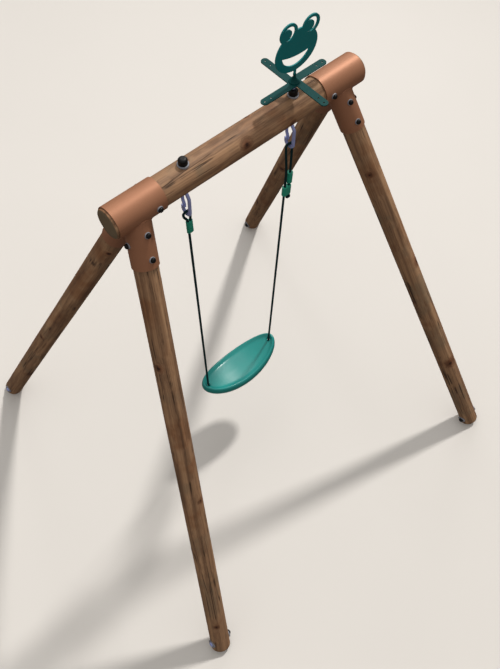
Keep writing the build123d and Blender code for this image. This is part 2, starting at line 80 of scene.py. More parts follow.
# %% [markdown]
# Each rope runs from a knot under the seat, up and over its hook, and back down beside itself: the
# left one into a clamp, the right one through a keeper and an adjuster to a knotted tail. Its route
# is a short list of points in the rope's own plane. A smooth NURBS curve with those control points is
# what a pulled rope does, and the mesh of the rope follows points read back from the curve. Both
# planes contain the beam, and the ropes lean a little, because the hooks are wider apart than the
# holes in the seat.

# %% Rope routes
rope_radius = 0.005
hook_bowl_radius = 0.0195  # the swing hinges on the middle of the hook's bowl
on_hook_z = joints["swing_hinge"]["pos_m"][2] - hook_bowl_radius
seat_hinge_z = joints["seat_pitch"]["pos_m"][2]
seat_hole_inset = 0.029
seat_hole_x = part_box("seat")[1].x - seat_hole_inset
hook_x = {side: sum(p.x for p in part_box(f"hook_{side}")) / 2 for side in ("left", "right")}
knot_below = 0.0205  # from the seat's hinge line to the knot's centre


def rope_frame(side):
    """The rope's origin in the hook's wire, its direction to the left, its direction up, its length."""
    on_hook = Vector((hook_x[side], 0, on_hook_z))
    hole = Vector((math.copysign(seat_hole_x, hook_x[side]), 0, seat_hinge_z))
    up = (on_hook - hole).normalized()
    leftward = (Vector((-1, 0, 0)) + up * up.x).normalized()
    return on_hook, leftward, up, (on_hook - hole).length


def in_rope_plane(side, points):
    on_hook, leftward, up, _ = rope_frame(side)
    return [on_hook + leftward * x + up * z for x, z in points]


def read_curve(name, points, order=3, resolution=24):
    """A NURBS curve with these control points, and closely spaced points read from it."""
    curve = bpy.data.curves.new(name, "CURVE")
    curve.dimensions = "3D"
    curve.resolution_u = resolution
    spline = curve.splines.new("NURBS")
    spline.points.add(len(points) - 1)
    for point, place in zip(spline.points, points):
        point.co = (*place, 1)
    spline.order_u = order
    spline.use_endpoint_u = True
    holder = bpy.data.objects.new(name, curve)
    mesh = bpy.data.meshes.new_from_object(holder)
    line = [v.co.copy() for v in mesh.vertices]
    bpy.data.objects.remove(holder)
    bpy.data.meshes.remove(mesh)
    return line


def spaced(line, step):
    """The same line with points a fixed step apart."""
    out, carry = [line[0]], 0.0
    for a, b in zip(line, line[1:]):
        length = (b - a).length
        at = step - carry
        while at <= length:
            out.append(a.lerp(b, at / length))
            at += step
        carry = (carry + length) % step
    if (out[-1] - line[-1]).length > step * 0.3:
        out.append(line[-1])
    return out


def line_length(line):
    return sum((b - a).length for a, b in zip(line, line[1:]))


left_length = rope_frame("left")[3]
right_length = rope_frame("right")[3]
left_route = in_rope_plane("left", [
    (0, -left_length - knot_below),
    (0, -0.098),
    (0, -0.038),
    (0.016, -0.0122),
    (0.016, 0.0118),
    (-0.016, 0.0118),
    (-0.016, -0.0122),
    (-0.011, -0.038),
    (-0.011, -0.107),
])
right_route = in_rope_plane("right", [
    (0, -right_length - knot_below),
    (0, -0.198),
    (0, -0.138),
    (0.016, -0.0122),
    (0.016, 0.0118),
    (-0.016, 0.0118),
    (-0.016, -0.0122),
    (-0.021, -0.138),
    (-0.021, -0.198),
    (-0.021, -0.297),
])
rope_step = 0.0015
left_line = spaced(read_curve("left_route", left_route), rope_step)
right_line = spaced(read_curve("right_route", right_route), rope_step)
print("left rope", round(line_length(left_line), 3), "m, right rope", round(line_length(right_line), 3), "m")

# %% [markdown]
# A rope could be a plain curve with a round bevel, but then only its shading could look braided.
# Here a tube is swept along the line as a mesh, and its radius rises and falls where two sets of
# helical strands cross. The tube keeps its sides from twisting by carrying one direction along.

# %% Sweep a tube
sides = (("left", -1), ("right", 1))
fronts = (("front", -1), ("back", 1))


def new_mesh(name, vertices, faces):
    mesh = bpy.data.meshes.new(name)
    mesh.from_pydata([tuple(v) for v in vertices], [], faces)
    mesh.validate()
    edit = bmesh.new()
    edit.from_mesh(mesh)
    bmesh.ops.recalc_face_normals(edit, faces=edit.faces)
    edit.to_mesh(mesh)
    edit.free()
    mesh.polygons.foreach_set("use_smooth", [True] * len(mesh.polygons))
    piece = bpy.data.objects.new(name, mesh)
    bpy.context.scene.collection.objects.link(piece)
    return piece


def ring_quads(rows, around):
    """The faces between rings of points that follow each other."""
    faces = []
    for i in range(rows - 1):
        for k in range(around):
            a, b = i * around + k, i * around + (k + 1) % around
            faces.append((a, b, b + around, a + around))
    return faces


def spoke_at(first, second, angle):
    """The direction at an angle, between two directions that are square to each other."""
    return first * math.cos(angle) + second * math.sin(angle)


def carried_frames(line):
    """For each point: the direction along the line and two directions square to it."""
    along = []
    for i in range(len(line)):
        a, b = line[max(i - 1, 0)], line[min(i + 1, len(line) - 1)]
        along.append((b - a).normalized())
    side = along[0].orthogonal().normalized()
    frames = []
    for direction in along:
        side = (side - direction * side.dot(direction)).normalized()
        frames.append((direction, side, direction.cross(side)))
    return frames


def swept(name, line, around, radius_at):
    """A closed tube: radius_at(distance along, angle) gives the surface."""
    vertices, travelled = [], 0.0
    frames = carried_frames(line)
    for i, (point, (_, side, up)) in enumerate(zip(line, frames)):
        if i:
            travelled += (point - line[i - 1]).length
        for k in range(around):
            angle = math.tau * k / around
            radius = radius_at(travelled, angle)
            vertices.append(point + side * (radius * math.cos(angle)) + up * (radius * math.sin(angle)))
    faces = ring_quads(len(line), around)
    faces.append(tuple(range(around - 1, -1, -1)))
    last = (len(line) - 1) * around
    faces.append(tuple(last + k for k in range(around)))
    return new_mesh(name, vertices, faces)


def braid(travelled, angle):
    """Two families of four helical strands, crossing every few millimetres."""
    pitch = 0.034
    turn = math.tau * travelled / pitch
    one = abs(math.cos(2 * angle + 2 * turn))
    two = abs(math.cos(2 * angle - 2 * turn + 0.8))
    return rope_radius - 0.0006 + 0.0006 * max(one, two) ** 0.5


ropes = {}
for side, line in (("left", left_line), ("right", right_line)):
    ropes[side] = swept(f"braided_rope_{side}", line, 28, braid)
    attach(ropes[side], "swing")
    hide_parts(f"rope_{side}")
    print(ropes[side].name, len(ropes[side].data.vertices), "points")

# %% [markdown]
# A stopper knot is a rope wound round itself. A trefoil is the simplest closed knot that looks wound
# from every side, and one formula draws it. It is scaled to the ball that stands in for it, so the
# rope seems to go in at the top and stay there.

# %% Stopper knots
def trefoil(name, node, up):
    low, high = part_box(node)
    centre, reach = (low + high) / 2, (high.x - low.x) / 2
    thick = reach * 0.38
    turn = Vector((0, 0, 1)).rotation_difference(up)
    line = []
    for i in range(161):
        t = math.tau * i / 160
        wide = 2 + math.cos(3 * t)
        place = Vector((wide * math.cos(2 * t), wide * math.sin(2 * t), 1.6 * math.sin(3 * t)))
        line.append(centre + turn @ place * ((reach - thick) / 3))
    knot = swept(name, line, 20, lambda s, a: thick * (1 - 0.07 * abs(math.cos(2 * a + s * 300))))
    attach(knot, "swing")
    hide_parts(node)
    return knot


knots = {}
for side in ("left", "right"):
    knots[side] = trefoil(f"seat_stopper_{side}", f"seat_knot_{side}", rope_frame(side)[2])
knots["tail"] = trefoil("tail_stopper_right", "tail_knot_right", rope_frame("right")[2])
print("knots", [knot.name for knot in knots.values()])

# %% [markdown]
# A shader is a small sum over a surface: noise here, a mask there, mixed into a colour. Wiring each
# Math node by hand hides the sum, so one small class wraps a socket and lets Python's operators add
# the nodes. Every other node comes from one method that takes a type, its settings and its inputs.

# %% Shader helpers
class Signal:
    """An output socket that arithmetic can be written on."""

    def __init__(self, finish, socket):
        self.finish, self.socket = finish, socket

    def math(self, operation, other=None, swap=False):
        pair = (other, self) if swap else (self, other)
        values = {i: value for i, value in enumerate(pair) if value is not None}
        return self.finish.node("ShaderNodeMath", {"operation": operation}, values)

    def __add__(self, other):
        return self.math("ADD", other)

    def __sub__(self, other):
        return self.math("SUBTRACT", other)

    def __rsub__(self, other):
        return self.math("SUBTRACT", other, swap=True)

    def __mul__(self, other):
        return self.math("MULTIPLY", other)

    def __truediv__(self, other):
        return self.math("DIVIDE", other)

    def __pow__(self, other):
        return self.math("POWER", other)

    __radd__, __rmul__ = __add__, __mul__

    def step(self, low, high, out_low=0.0, out_high=1.0):
        """A smooth rise from out_low to out_high as the signal goes from low to high."""
        settings = {"interpolation_type": "SMOOTHSTEP"}
        values = {"Value": self, "From Min": low, "From Max": high, "To Min": out_low, "To Max": out_high}
        return self.finish.node("ShaderNodeMapRange", settings, values)


class Finish:
    """A material with a Principled shader, and methods that add nodes to it."""

    def __init__(self, name, **constants):
        self.material = bpy.data.materials.new(name)
        self.material.use_nodes = True
        self.tree = self.material.node_tree
        self.shader = next(n for n in self.tree.nodes if n.type == "BSDF_PRINCIPLED")
        for socket, value in constants.items():
            self.set(socket.replace("_", " "), value)
        self.place = self.node("ShaderNodeTexCoord", {}, {}, "Object")

    def node(self, kind, settings, values, out=0):
        made = self.tree.nodes.new(kind)
        for key, value in settings.items():
            if key == "stops":
                ramp = made.color_ramp.elements
                while len(ramp) < len(value):
                    ramp.new(0.5)
                for element, (position, colour) in zip(ramp, value):
                    element.position, element.color = position, (*colour, 1)
            else:
                setattr(made, key, value)
        by_id = {socket.identifier: socket for socket in made.inputs}
        for key, value in values.items():
            socket = by_id[key] if key in by_id else made.inputs[key]
            if isinstance(value, Signal):
                self.tree.links.new(value.socket, socket)
            else:
                socket.default_value = value
        return Signal(self, made.outputs[out])

    def set(self, socket, value):
        if isinstance(value, Signal):
            self.tree.links.new(value.socket, self.shader.inputs[socket])
        else:
            self.shader.inputs[socket].default_value = value

    def noise(self, scale, detail=4.0, rough=0.55, at=None, distortion=0.0):
        values = {
            "Vector": at or self.place, "Scale": scale, "Detail": detail, "Roughness": rough,
            "Distortion": distortion,
        }
        return self.node("ShaderNodeTexNoise", {}, values)

    def vector(self, operation, a, b, out=0):
        return self.node("ShaderNodeVectorMath", {"operation": operation}, {0: a, 1: b}, out)

    def dot(self, a, b):
        return self.vector("DOT_PRODUCT", a, b, "Value")

    def mix(self, factor, a, b):
        values = {"Factor_Float": factor, "A_Color": self.rgba(a), "B_Color": self.rgba(b)}
        return self.node("ShaderNodeMix", {"data_type": "RGBA"}, values, 2)

    def tint(self, colour, factor, by):
        """Multiply a colour by another where the factor is 1."""
        values = {"Factor_Float": factor, "A_Color": self.rgba(colour), "B_Color": self.rgba(by)}
        return self.node("ShaderNodeMix", {"data_type": "RGBA", "blend_type": "MULTIPLY"}, values, 2)

    @staticmethod
    def rgba(colour):
        return colour if isinstance(colour, Signal) else (*colour[:3], 1)

    def bump(self, height, distance, strength):
        values = {"Height": height, "Distance": distance, "Strength": strength}
        return self.node("ShaderNodeBump", {}, values)


def srgb(red, green, blue):
    """A screen colour, 0 to 255, as the linear values that shaders use."""
    def linear(value):
        value /= 255
        return value / 12.92 if value <= 0.04045 else ((value + 0.055) / 1.055) ** 2.4
    return linear(red), linear(green), linear(blue)


def dress(finish, *names):
    """Give CAD nodes or pieces one finish."""
    for name in names:
        piece = cad[name] if isinstance(name, str) else name
        piece.data.materials.clear()
        piece.data.materials.append(finish.material)


print("helpers ready")

# %% [markdown]
# The frame is round timber with the bark off: long pale fibres, darker streaks along them, and knots
# with rings round them. Turned wood can use a picture, but a formula fits any length without a seam.
# Noise squeezed along the timber's own axis gives fibres. Each knot bends them by adding its
# distance to the noise's coordinates. The sawn ends get growth rings from the distance to the axis.

# %% Timber finish
def timber_finish(name, origin, axis, radius, knots, seed=0.0):
    wood = Finish(name, Roughness=0.62, Specular_IOR_Level=0.32)
    first = axis.orthogonal().normalized()
    second = axis.cross(first)
    here = wood.vector("SUBTRACT", wood.place, tuple(origin))
    along, u, v = (wood.dot(here, tuple(d)) for d in (axis, first, second))
    near_knot, knot_heart = None, None
    for at, angle, size in knots:
        middle = origin + axis * at + spoke_at(first, second, angle) * radius
        away = wood.vector("DISTANCE", wood.place, tuple(middle), "Value")
        swirl = away.step(size * 0.4, size * 3.6, 1.0, 0.0)
        heart = away.step(size * 0.45, size * 0.95, 1.0, 0.0)
        near_knot = swirl if near_knot is None else near_knot.math("MAXIMUM", swirl)
        knot_heart = heart if knot_heart is None else knot_heart.math("MAXIMUM", heart)
    warp = wood.noise(9.0, 2.0) * 0.05 + near_knot * 0.055
    grain_at = wood.node(
        "ShaderNodeCombineXYZ", {}, {"X": u + seed, "Y": v + warp * 0.16, "Z": along * 0.045 + warp * 0.5}
    )
    fibres = wood.noise(210.0, 5.0, 0.62, grain_at)
    streaks = wood.noise(46.0, 3.0, 0.5, grain_at, 0.4)
    patches = wood.noise(5.5, 3.0, 0.6)
    stops = [(0.24, srgb(80, 60, 46)), (0.42, srgb(128, 97, 72)), (0.58, srgb(170, 132, 99)),
             (0.8, srgb(204, 168, 132))]
    colour = wood.node("ShaderNodeValToRGB", {"stops": stops}, {0: streaks * 0.62 + fibres * 0.38})
    weathered = patches.step(0.52, 0.66) * streaks.step(0.35, 0.6)
    colour = wood.mix(weathered * 0.5, colour, srgb(112, 102, 84))
    colour = wood.tint(colour, patches.step(0.3, 0.5, 0.6, 0.0), srgb(206, 170, 140))
    colour = wood.tint(colour, near_knot * 0.7, srgb(150, 92, 56))
    colour = wood.mix(knot_heart * 0.9, colour, srgb(58, 32, 20))
    cracks_at = wood.node("ShaderNodeCombineXYZ", {}, {"X": u, "Y": v, "Z": along * 0.022 + seed})
    crack_noise = wood.noise(30.0, 2.0, 0.5, cracks_at, 0.2)
    crack = ((crack_noise - 0.5).math("ABSOLUTE")).step(0.004, 0.014, 1.0, 0.0)
    crack = crack * patches.step(0.46, 0.58)
    colour = wood.mix(crack * 0.8, colour, srgb(48, 30, 20))
    flat = wood.node("ShaderNodeNewGeometry", {}, {}, "Normal")
    end = wood.dot(flat, tuple(axis)).math("ABSOLUTE").step(0.75, 0.9)
    from_axis = (u * u + v * v) ** 0.5
    rings = ((from_axis + wood.noise(22.0, 2.0) * 0.012) * 1500.0).math("SINE") * 0.5 + 0.5
    outward = wood.node("ShaderNodeCombineXYZ", {}, {"X": u / from_axis, "Y": v / from_axis})
    spokes = wood.noise(60.0, 4.0, 0.6, outward)
    sawn = wood.mix(rings * 0.45 + spokes * 0.45, srgb(78, 68, 50), srgb(152, 132, 104))
    colour = wood.mix(end, colour, sawn)
    wood.set("Base Color", colour)
    wood.set("Roughness", 0.5 + fibres * 0.28)
    relief = fibres * 0.35 + streaks * 0.65 - crack * 1.6 + knot_heart * 0.5 + end * rings * 0.5
    wood.set("Normal", wood.bump(relief, 0.0011, 0.75))
    return wood


# %% [markdown]
# The corner sleeves are steel, sprayed a copper brown with a little metal flake in the paint. A
# satin metallic paint is part metal and part plain colour. Its orange peel is a faint bump, and
# dust and handling vary its roughness.

# %% Painted steel
def bracket_finish():
    paint = Finish("copper_brown_paint", Metallic=0.3, Roughness=0.5, Specular_IOR_Level=0.35)
    tone = paint.noise(7.0, 3.0)
    flake = paint.noise(2600.0, 1.0)
    colour = paint.mix(tone, srgb(152, 104, 76), srgb(168, 117, 88))
    colour = paint.mix(flake.step(0.55, 0.75) * 0.35, colour, srgb(236, 186, 152))
    scuffs = paint.noise(38.0, 5.0, 0.7).step(0.62, 0.72)
    colour = paint.mix(scuffs * 0.25, colour, srgb(128, 92, 72))
    paint.set("Base Color", colour)
    paint.set("Roughness", 0.44 + tone * 0.1 + scuffs * 0.12)
    peel = paint.noise(420.0, 2.0)
    paint.set("Normal", paint.bump(peel + flake * 0.15, 0.00016, 0.5))
    return paint


def ornament_finish(name, dark, light, specular):
    coat = Finish(name, Roughness=0.5, Specular_IOR_Level=specular)
    tone = coat.noise(14.0, 3.0)
    colour = coat.mix(tone, dark, light)
    dust = coat.noise(60.0, 4.0, 0.65).step(0.58, 0.75)
    colour = coat.mix(dust * 0.08, colour, srgb(90, 140, 136))
    coat.set("Base Color", colour)
    coat.set("Roughness", 0.42 + dust * 0.15 + tone * 0.08)
    coat.set("Normal", coat.bump(coat.noise(900.0, 2.0), 0.00012, 0.6))
    return coat


copper_paint = bracket_finish()
# The head, limbs and collar wear one teal paint: the head's lighter copy is painted light on its upright
# plates, and the darker copy on the limbs and collar is painted shade.
head_coat_painted_light = ornament_finish("teal_powder_coat", srgb(8, 114, 118), srgb(14, 130, 132), 0.22)
limb_coat_painted_shade = ornament_finish("teal_powder_coat_painted_shade", srgb(4, 58, 58), srgb(8, 70, 69), 0.1)
sleeves = [name for name in cad if "sleeve" in name]
dress(copper_paint, *sleeves)
limbs = ["limb_left", "limb_right", "limb_front", "limb_back"]
dress(head_coat_painted_light, "ornament_head")
dress(limb_coat_painted_shade, "ornament_collar", *limbs)
print("painted steel on", len(sleeves) + 2 + len(limbs), "nodes")

# %% [markdown]
# Hooks, nuts and screws are zinc plated. Fresh zinc has a cold, slightly blue shine with soft cloudy
# patches. A full metal would mirror the dim studio and turn dark, so it is only part metal, over a
# pale blue base. Its roughness is uneven, and a fine bump stands for the forged skin.

# %% Zinc, black plastic and pale plastic
def zinc_finish():
    zinc = Finish("bright_zinc", Metallic=0.3, Roughness=0.32)
    cloud = zinc.noise(90.0, 4.0, 0.6)
    stain = zinc.noise(24.0, 3.0).step(0.55, 0.7)
    colour = zinc.mix(cloud, srgb(146, 162, 236), srgb(196, 206, 252))
    colour = zinc.mix(stain * 0.3, colour, srgb(150, 146, 160))
    zinc.set("Base Color", colour)
    zinc.set("Roughness", 0.26 + cloud * 0.2 + stain * 0.1)
    zinc.set("Normal", zinc.bump(zinc.noise(500.0, 3.0), 0.0002, 0.5))
    return zinc


def plastic_finish(name, dark, light, rough, specular=0.5, grain=700.0, depth=0.0001):
    """A moulded plastic: two close tones, a fine spark-eroded grain and light scuffs."""
    plastic = Finish(name, Roughness=rough, Specular_IOR_Level=specular)
    tone = plastic.noise(26.0, 3.0)
    scuffs = plastic.noise(120.0, 5.0, 0.7).step(0.6, 0.72)
    colour = plastic.mix(tone, dark, light)
    plastic.set("Base Color", plastic.mix(scuffs * 0.12, colour, tuple(min(1, c * 1.5) for c in light)))
    plastic.set("Roughness", rough + scuffs * 0.15 + tone * 0.06)
    plastic.set("Normal", plastic.bump(plastic.noise(grain, 2.0), depth, 0.6))
    return plastic


zinc = zinc_finish()
black = plastic_finish("black_cap_plastic", srgb(5, 5, 6), srgb(12, 12, 14), 0.4, specular=0.25)
pale = plastic_finish("pale_base_plastic", srgb(118, 120, 130), srgb(158, 160, 168), 0.45)
green = plastic_finish("green_fitting_plastic", srgb(20, 140, 116), srgb(36, 176, 146), 0.36)
dress(zinc, "hook_left", "hook_right", "gate_left", "gate_right", "gate_pins", "hook_saddles", "hook_washers")
dress(zinc, "hook_nuts", "bracket_screws", "anchor_bolts", "anchor_nuts", "ornament_nut")
dress(black, "screw_caps", "bolt_cap_left", "bolt_cap_right", "anchor_caps")
dress(pale, "screw_cap_bases", "bolt_cap_bases", "anchor_bases")
dress(green, "ferrule_left", "keeper_right", "adjuster_right")
print("small parts finished")

# %% [markdown]
# The rope is a dark green braid of polyester. Its strands are already in the mesh, so the finish only
# adds the single filaments, which are thinner than a mesh should carry.

# %% Rope finish
def rope_finish():
    cord = Finish("dark_green_braid", Roughness=0.75, Specular_IOR_Level=0.15)
    tone = cord.noise(60.0, 3.0)
    filament = cord.noise(2400.0, 2.0, 0.6)
    colour = cord.mix(tone * 0.6 + filament * 0.4, srgb(9, 32, 35), srgb(19, 56, 59))
    cord.set("Base Color", colour)
    cord.set("Roughness", 0.62 + filament * 0.25)
    cord.set("Normal", cord.bump(filament, 0.0002, 0.7))
    return cord


braided = rope_finish()
dress(braided, *ropes.values(), *knots.values())

# %% [markdown]
# A debarked log is never a true cylinder. Each timber is rebuilt as a mesh of rings whose radius
# wanders by about a millimetre, swells at the knots and keeps inside the steel sleeves. The pieces
# replace the plain cylinders and take their lengths from them.

# %% Timber shape
beam_low, beam_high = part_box("top_beam")
beam_centre = (beam_low + beam_high) / 2
beam_radius = (beam_high.z - beam_low.z) / 2
leg_radius = 0.045
leg_top_x = 0.453
leg_foot = Vector((0.879, 0.887, 0))
foot_heel = 0.009
leg_hidden = 0.120  # the coped and mitred top, which the sleeve covers


def leg_line(side, front):
    """Where a leg's axis meets the beam's, and the leg's direction down."""
    top = Vector((side * leg_top_x, 0, beam_centre.z))
    foot = Vector((side * leg_foot.x, front * leg_foot.y, 0))
    return top, (foot - top).normalized()


def log(name, start, end, radius, knots, step, around, ground=False):
    axis = (end - start).normalized()
    length = (end - start).length
    first = axis.orthogonal().normalized()
    second = axis.cross(first)
    chamfer = 0.003
    end_shares = (0.35, 0.7, 1 - chamfer / radius)  # rings on the sawn end, as shares of the radius
    count = max(8, round(length / step))
    profile = [(0, share) for share in end_shares] + [(chamfer, 1)]
    profile += [(chamfer + (length - 2 * chamfer) * i / count, 1) for i in range(1, count)]
    profile += [(length - chamfer, 1)] + [(length, share) for share in reversed(end_shares)]
    vertices = []
    for at, share in profile:
        for k in range(around):
            spoke = spoke_at(first, second, math.tau * k / around)
            wander = noise.noise(Vector((spoke.x * 1.6, spoke.y * 1.6, at * 3.0 + start.x * 7)))
            ripple = noise.noise(Vector((spoke.x * 5, spoke.y * 5 + start.y, at * 1.2)))
            r = radius - 0.0009 + 0.0006 * wander + 0.0003 * ripple
            for knot_at, knot_angle, size in knots:
                place = axis * knot_at + spoke_at(first, second, knot_angle) * radius
                away = (axis * at + spoke * radius - place).length
                r += 0.0009 * math.exp(-((away / (size * 1.3)) ** 2))
            r = min(r, radius)
            point = start + axis * at + spoke * (r * share)
            if ground and point.z < 0:
                point -= axis * (point.z / axis.z)
            vertices.append(point)
    faces = ring_quads(len(profile), around)
    for i in (0, len(profile) - 1):
        middle = len(vertices)
        centre = start + axis * profile[i][0]
        if ground and centre.z < 0:
            centre -= axis * (centre.z / axis.z)
        vertices.append(centre)
        for k in range(around):
            faces.append((middle, i * around + k, i * around + (k + 1) % around))
    return new_mesh(name, vertices, faces)


# each knot: metres along, angle round, size
beam_knots = [(0.17, 2.2, 0.012), (0.32, 0.6, 0.008), (0.40, 3.4, 0.014), (0.55, 1.9, 0.010),
              (0.68, 4.9, 0.011), (0.76, 2.6, 0.007), (0.30, 5.4, 0.009), (0.62, 0.1, 0.008)]
half_beam = Vector((beam_high.x, 0, 0))
beam_ends = (beam_centre - half_beam, beam_centre + half_beam)
beam = log("round_beam", *beam_ends, beam_radius, beam_knots, 0.006, 84)
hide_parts("top_beam")
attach(beam, "frame")
dress(timber_finish("beam_timber", beam_ends[0], Vector((1, 0, 0)), beam_radius, beam_knots), beam)
for f, front in fronts:
    for s, side in sides:
        top, axis = leg_line(side, front)
        start = top + axis * leg_hidden
        end = top + axis * ((beam_centre.z - foot_heel) / -axis.z)
        leg_knots = [
            (0.24 + 0.29 * i + 0.09 * math.sin(7 * i + side), 2.4 * i + front + side, 0.007 + 0.003 * (i % 3))
            for i in range(7)
        ]
        leg = log(f"round_leg_{f}_{s}", start, end, leg_radius, leg_knots, 0.008, 64, ground=True)
        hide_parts(f"leg_{f}_{s}")
        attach(leg, "frame")
        grain = timber_finish(f"timber_{f}_{s}", start, axis, leg_radius, leg_knots, side + 2 * front)
        dress(grain, leg)
        print(leg.name, round((end - start).length, 3), "m")

# %% [markdown]
# The seat is an oval dish of moulded plastic, bent upwards at both ends, with a fat rolled rim, a
# thin skirt and ribs underneath. It could be sculpted from a grid. It is built instead from one
# profile, carried round the oval: the same points make the dish, the rim, the skirt and the
# underside. The bend is added last, by hanging every point from one arc.

# %% Seat shape
seat_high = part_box("seat")[1]
seat_half_length, seat_half_width = seat_high.x, seat_high.y
seat_bend = 0.452
seat_rim_z = 0.432
seat_depth = 0.038
seat_wall = 0.005
rim_crown = 0.013  # inset of the rim's highest line
rim_roll = 0.030  # how deep the outside keeps curving
dish_edge = 0.034
dish_depth = 0.008


def rim_profile():
    """(inset from the outline, depth under the rim's arc), from the dish to the underside."""
    points = []
    for i in range(1, 9):
        t = i / 8
        points.append((dish_edge - (dish_edge - rim_crown) * t, dish_depth * (1 - t * t * (1.6 - 0.6 * t))))
    for i in range(1, 13):
        turn = math.pi / 2 * i / 12
        points.append((rim_crown * (1 - math.sin(turn)), rim_roll * (1 - math.cos(turn))))
    points += [(0.0004, 0.0335), (0.0014, 0.0358), (0.0030, 0.0374), (0.0050, seat_depth)]
    points += [(0.0066, 0.0374), (0.0074, 0.0355), (0.0078, 0.0300), (0.0092, 0.0220), (0.0120, 0.0165)]
    return points + [(0.0170, dish_depth + seat_wall + 0.0008), (0.024, dish_depth + seat_wall + 0.0002)]


def bent_point(x, y, depth):
    return Vector((x, y, seat_rim_z + seat_bend - math.sqrt((seat_bend + depth) ** 2 - x * x)))


def rings_to_mesh(name, rings, around):
    """Join rings of points into a closed skin, with a middle point at each end."""
    vertices, faces = [v for ring in rings for v in ring], ring_quads(len(rings), around)
    for i in (0, len(rings) - 1):
        vertices.append(sum(rings[i], Vector()) / around)
        for k in range(around):
            faces.append((len(vertices) - 1, i * around + k, i * around + (k + 1) % around))
    return new_mesh(name, vertices, faces)


def make_seat(around=176):
    profile = rim_profile()
    inner = [(share, dish_depth) for share in (0.04, 0.15, 0.3, 0.45, 0.6, 0.74, 0.86, 0.95)]
    under = [(share, dish_depth + seat_wall) for share, _ in reversed(inner)]
    ovals = [((seat_half_length - dish_edge) * s, (seat_half_width - dish_edge) * s, d) for s, d in inner]
    ovals += [(seat_half_length - inset, seat_half_width - inset, depth) for inset, depth in profile]
    last = profile[-1][0]
    ovals += [((seat_half_length - last) * s, (seat_half_width - last) * s, d) for s, d in under]
    rings = []
    for half_x, half_y, depth in ovals:
        angles = [math.tau * k / around for k in range(around)]
        rings.append([bent_point(half_x * math.cos(a), half_y * math.sin(a), depth) for a in angles])
    return rings_to_mesh("moulded_seat", rings, around)


seat_hollow = (seat_half_length - 0.0095, seat_half_width - 0.0095)


def make_rib(name, start, end, thick=0.003):
    """A thin rib under the dish, between two points of the seat's plan."""
    along = Vector((end[0] - start[0], end[1] - start[1], 0))
    side = Vector((-along.y, along.x, 0)).normalized() * thick / 2
    deep = seat_depth - 0.004
    section = [(-1, dish_depth + seat_wall - 0.001), (-1, deep - 0.001), (-0.5, deep), (0.5, deep),
               (1, deep - 0.001), (1, dish_depth + seat_wall - 0.001)]
    rings = []
    for i in range(25):
        middle = Vector((*start, 0)) + along * i / 24
        rings.append([bent_point(middle.x + side.x * w, middle.y + side.y * w, d) for w, d in section])
    return rings_to_mesh(name, rings, len(section))


def join(first, *others):
    """Make several meshes one piece."""
    merged = bmesh.new()
    for piece in (first, *others):
        merged.from_mesh(piece.data)
    merged.to_mesh(first.data)
    merged.free()
    for piece in others:
        bpy.data.objects.remove(piece)
    return first


def lathe(name, centre, up, profile, around=64):
    """Turn (radius, height) points about an axis into a closed ring."""
    side = up.orthogonal().normalized()
    other = up.cross(side)
    vertices, faces, rows = [], [], len(profile)
    for radius, height in profile:
        for k in range(around):
            spoke = spoke_at(side, other, math.tau * k / around)
            vertices.append(centre + up * height + spoke * radius)
    for i in range(rows):
        for k in range(around):
            a, b = i * around, (i + 1) % rows * around
            faces.append((a + k, a + (k + 1) % around, b + (k + 1) % around, b + k))
    return new_mesh(name, vertices, faces)


def drill(piece, centre, up, radius, half):
    """Cut a round hole through a mesh and keep the result as plain mesh."""
    cutter = swept("cutter", [centre - up * half, centre + up * half], 48, lambda at, angle: radius)
    tool = piece.modifiers.new("hole", "BOOLEAN")
    tool.operation, tool.object, tool.solver = "DIFFERENCE", cutter, "EXACT"
    shown = piece.evaluated_get(bpy.context.evaluated_depsgraph_get())
    drilled = bpy.data.meshes.new_from_object(shown)
    piece.modifiers.clear()
    piece.data = drilled
    bpy.data.objects.remove(cutter)


seat = make_seat()
# (radius, height): the rope crosses the hole on a slant, and more so as the seat pitches, so the ring
# opens wide both ways from a narrow middle
eyelet_ring = [(0.0067, 0.0), (0.0091, 0.0035), (0.0108, 0.0060), (0.0120, 0.0071), (0.0136, 0.0064),
               (0.0146, 0.0045), (0.0146, -0.0042), (0.0135, -0.0055), (0.0112, -0.0055), (0.0090, -0.0032)]
eyelet_hole = 0.0125
drill_half = 0.02
eyelets = []
for side, end in sides:
    lean = math.asin(seat_hole_x / (seat_bend + dish_depth))
    normal = Vector((-end * math.sin(lean), 0, math.cos(lean)))
    hole = Vector((end * seat_hole_x, 0, seat_hinge_z))
    drill(seat, hole, normal, eyelet_hole, drill_half)
    eyelets.append(lathe(f"seat_eyelet_{side}", hole, normal, eyelet_ring))
ribs = []
rib_reach = seat_hole_x - 0.016
cross_ribs, rib_spacing = 4, 0.070
for number in range(cross_ribs):
    x = (number - (cross_ribs - 1) / 2) * rib_spacing
    half = seat_hollow[1] * math.sqrt(1 - (x / seat_hollow[0]) ** 2)
    ribs.append(make_rib(f"cross_rib_{number}", (x, -half), (x, half)))
ribs.append(make_rib("long_rib", (-rib_reach, 0), (rib_reach, 0)))
seat_ribs = join(*ribs)
seat_ribs.name = "seat_ribs"
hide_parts("seat")
for piece in (seat, seat_ribs, *eyelets):
    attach(piece, "seat")
print("seat", len(seat.data.polygons), "faces, and", len(ribs), "ribs")

# %% Seat finish
def seat_finish():
    shell = Finish("teal_seat_plastic", Roughness=0.28, Specular_IOR_Level=0.55, Coat_Roughness=0.2)
    tone = shell.noise(6.0, 3.0)
    scuffs = shell.noise(55.0, 6.0, 0.72).step(0.6, 0.72)
    colour = shell.mix(tone, srgb(14, 126, 122), srgb(26, 146, 140))
    colour = shell.mix(scuffs * 0.1, colour, srgb(110, 190, 180))
    shell.set("Base Color", colour)
    shell.set("Roughness", 0.26 + scuffs * 0.2 + tone * 0.06)
    shell.set("Normal", shell.bump(shell.noise(800.0, 2.0), 0.0001, 0.5))
    return shell


teal_plastic = seat_finish()
dress(teal_plastic, seat, seat_ribs, *eyelets)

